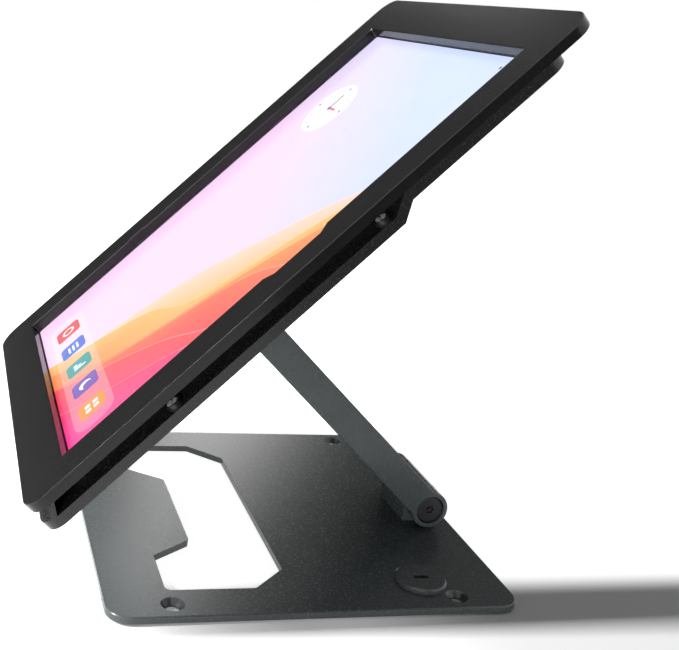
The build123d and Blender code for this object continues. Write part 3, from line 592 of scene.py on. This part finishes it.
finishes = {
    base_paint: [
        "base_plate", "arm", "lock_puck", "base_knuckle", "head_knuckle", "vesa_plate",
    ],
    head_paint: ["bezel"],
    cover_paint: ["back_cover", "slot_clips"],
    black_screw: [
        "base_hinge_bolt", "base_hinge_nut", "head_hinge_bolt", "head_hinge_nut",
        "base_knuckle_screws", "head_knuckle_screws", "vesa_screws", "bezel_screws",
    ],
    bright_screw: ["slot_screws"],
    plain_steel: ["lock_retainer", "usb_socket"],
    bronze: ["base_hinge_washers", "head_hinge_washers"],
    rubber: ["rubber_feet"],
    foam: ["bezel_gasket", "tablet_pads"],
    plastic: ["speakers", "key_switches"],
    aluminium: ["tablet_shell", "power_key", "volume_key"],
    cover_glass_material(): ["cover_glass"],
    lens: ["front_camera", "rear_camera"],
    battery_material(): ["battery"],
    circuit_board_material(): ["main_board"],
}
for material, names in finishes.items():
    for name in names:
        mesh = nodes[name].data
        mesh.materials.clear()
        mesh.materials.append(material)


# Stage: floor, world, cards and lamps
FLOOR_HALF_SIZE = 4.0
FLOOR_COLOUR = (0.82, 0.82, 0.82, 1.0)
WORLD_LOW = 0.1
WORLD_HIGH = 0.2
LAMP_TARGET = Vector((0.0, 0.0, 0.05))


def flat_face(corners):
    mesh = bmesh.new()
    mesh.faces.new([mesh.verts.new(corner) for corner in corners])
    return mesh


def upright(first, last, height):
    """The corners of an upright rectangle on two points of the ground."""
    return [(*first, 0.0), (*last, 0.0), (*last, height), (*first, height)]


def make_floor():
    """A pale floor that glows white to the eye far from the object, with painted light near it: a
    glow that washes out the object's shadow except in a strip on the +X side, and a weaker glow
    that lifts the shade towards the front.
    """
    g = material_graph("floor_white")
    place = g.node("ShaderNodeSeparateXYZ", g.place())
    away = g.node("ShaderNodeVectorMath", g.place(), operation="LENGTH").outputs["Value"]
    far = g.span(away, 0.35, 1.3, smooth=True)
    # Painted light: glow over the floor where x is below 58 mm, washing out the object's shadow
    # there
    shadow_washout_glow = g.span(place.outputs[0], 0.078, 0.058, 0.0, 0.92, smooth=True)
    # Painted light: a weaker glow towards the front, lifting the shade there
    front_shadow_lift = g.span(place.outputs[1], 0.09, 0.0, 0.0, 0.22, smooth=True)
    glow = g.math("MAXIMUM", g.math("MAXIMUM", far, shadow_washout_glow), front_shadow_lift)
    g.shade(
        Base_Color=FLOOR_COLOUR,
        Roughness=0.9,
        Specular_IOR_Level=0.0,
        Emission_Color=WHITE,
        Emission_Strength=g.math("MULTIPLY", g.seen(), glow),
    )
    ends = ((-1, -1), (1, -1), (1, 1), (-1, 1))
    corners = [(x * FLOOR_HALF_SIZE, y * FLOOR_HALF_SIZE, FLOOR_Z) for x, y in ends]
    floor = add_mesh("floor", flat_face(corners), g.owner)


def make_world():
    """White to the eye and in reflections, and a soft fill as light, stronger overhead."""
    world = bpy.data.worlds.new("studio")
    g = Graph(world, "ShaderNodeOutputWorld")
    where = g.node("ShaderNodeTexCoord").outputs["Generated"]
    height = g.node("ShaderNodeSeparateXYZ", where).outputs[2]
    light = g.span(height, 0.0, 1.0, WORLD_LOW, WORLD_HIGH)
    strength = g.math("MAXIMUM", light, g.seen())
    background = g.node("ShaderNodeBackground", WHITE, strength)
    g.put(g.output.inputs[0], background.outputs[0])
    bpy.context.scene.world = world


def make_card(name, corners, glow):
    """A dark card that only reflections see; glow gives its light from a point's X, Y and Z."""
    g = material_graph(name)
    cloth = g.spread(g.noise(400.0))
    where = g.node("ShaderNodeSeparateXYZ", g.place())
    g.shade(
        Base_Color=g.mix(cloth, linear(4, 4, 4), linear(10, 10, 10)),
        Roughness=0.9,
        Emission_Color=WHITE,
        Emission_Strength=glow(g, *where.outputs[:3]),
    )
    card = add_mesh(name, flat_face(corners), g.owner)
    card.visible_camera = False
    card.visible_diffuse = False
    card.visible_transmission = False
    card.visible_shadow = False


def no_glow(g, x, y, z):
    return 0.0


def left_glow(g, x, y, z):
    """A lit band between two soft edges, the rear one slanting, and a dim part far behind it."""
    slant = g.math("MULTIPLY_ADD", z, 0.5, y)
    to_rear_edge = g.span(slant, 0.56, 0.74, 3.6, 0.0, smooth=True)
    from_front_edge = g.span(y, 0.13, 0.23, smooth=True)
    higher_up = g.span(z, 0.55, 0.8, 0.95, 2.1, smooth=True)
    dim = g.span(slant, 0.85, 1.15, 0.0, 0.14, smooth=True)
    band = g.math("MULTIPLY", to_rear_edge, from_front_edge)
    return g.math("MULTIPLY_ADD", band, higher_up, dim)


def add_lamp(name, place, width, height, power):
    """A rectangular lamp that points at the foot of the stand."""
    data = bpy.data.lights.new(name, "AREA")
    data.shape = "RECTANGLE"
    data.size = width
    data.size_y = height
    data.energy = power
    lamp = add_object(name, data)
    towards = LAMP_TARGET - Vector(place)
    turn = towards.to_track_quat("-Z", "Y").to_matrix().to_4x4()
    lamp.matrix_world = Matrix.Translation(Vector(place)) @ turn
    return lamp


make_floor()
make_card("right_card", upright((0.15, 0.112), (2.0, 0.112), 0.8), no_glow)
make_card("left_card", upright((-1.2, -1.0), (-1.2, 1.3), 1.5), left_glow)
make_world()
add_lamp("front_key", (0.04, -2.0, 1.45), width=0.16, height=1.2, power=108.0)
side_fill = add_lamp("side_fill", (1.7, -0.8, 0.12), width=0.8, height=0.2, power=12.0)
side_fill.visible_glossy = False
